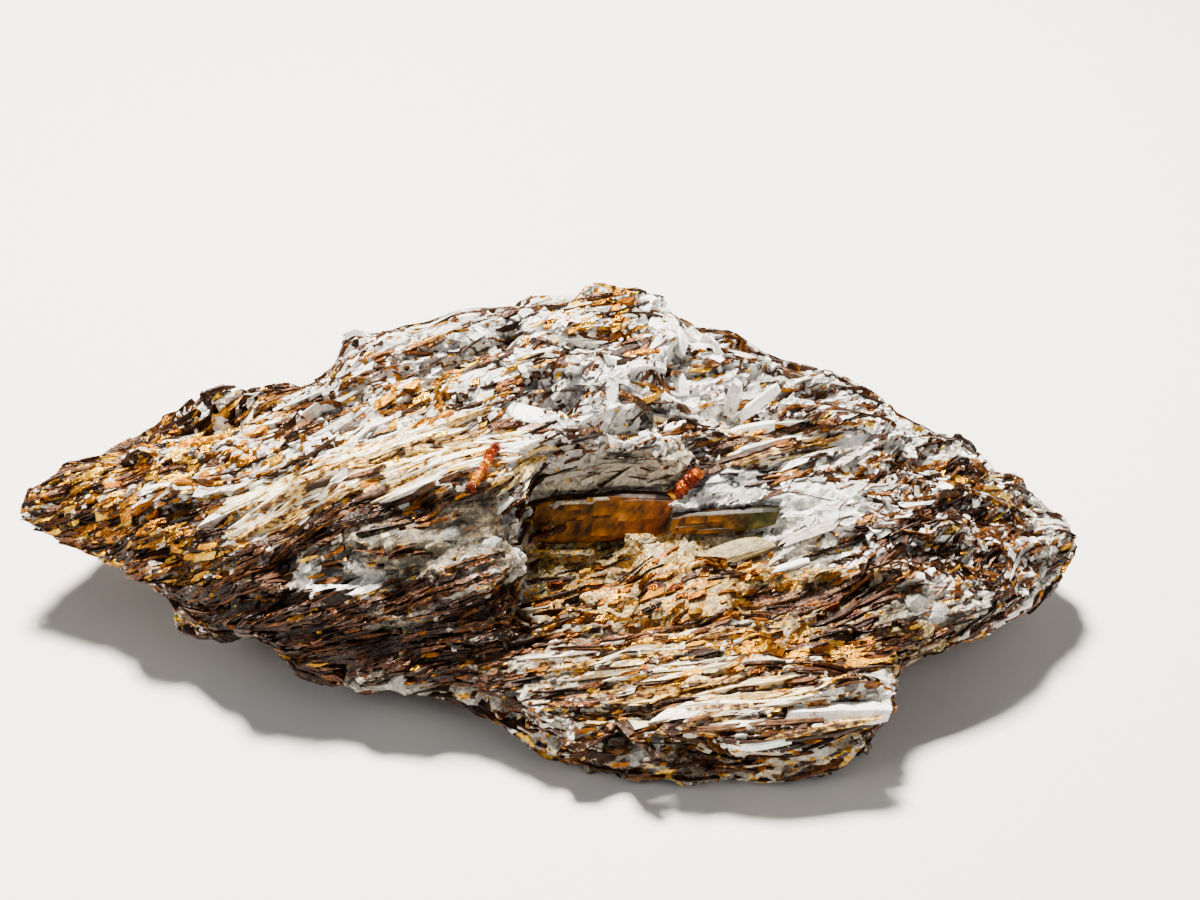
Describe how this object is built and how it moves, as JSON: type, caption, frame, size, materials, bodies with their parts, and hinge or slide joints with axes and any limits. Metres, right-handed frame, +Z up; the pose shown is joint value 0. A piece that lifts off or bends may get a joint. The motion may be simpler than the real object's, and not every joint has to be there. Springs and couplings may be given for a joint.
{
  "type": "astrophyllite cluster",
  "caption": "Lens-shaped splinter of pale layered rock grown through with brown, bronze and gold bladed crystals, stepped at the front, lying on a flat underside.",
  "frame": {"origin": "middle of the box round the rock, in the plane that it rests on", "axes": "+X along the rock from its left tip to its right tip, +Y away from the stepped front, +Z up from the flat underside"},
  "size_m": [0.107, 0.06, 0.0283],
  "materials": {
    "pale_rock": "broken feldspar and quartz, satin with bright cleavage faces",
    "brown_blades": "dark brown astrophyllite, glassy to pearly on its cleavage",
    "gold_flakes": "bronze and gold mica-like flakes, submetallic",
    "white_crystals": "white feldspar laths, slightly see-through at their edges",
    "amber_blades": "amber to red-orange blades, see-through where they are thin"
  },
  "bodies": {
    "root": {"astrophyllite_cluster": "pale_rock"}
  },
  "joints": []
}
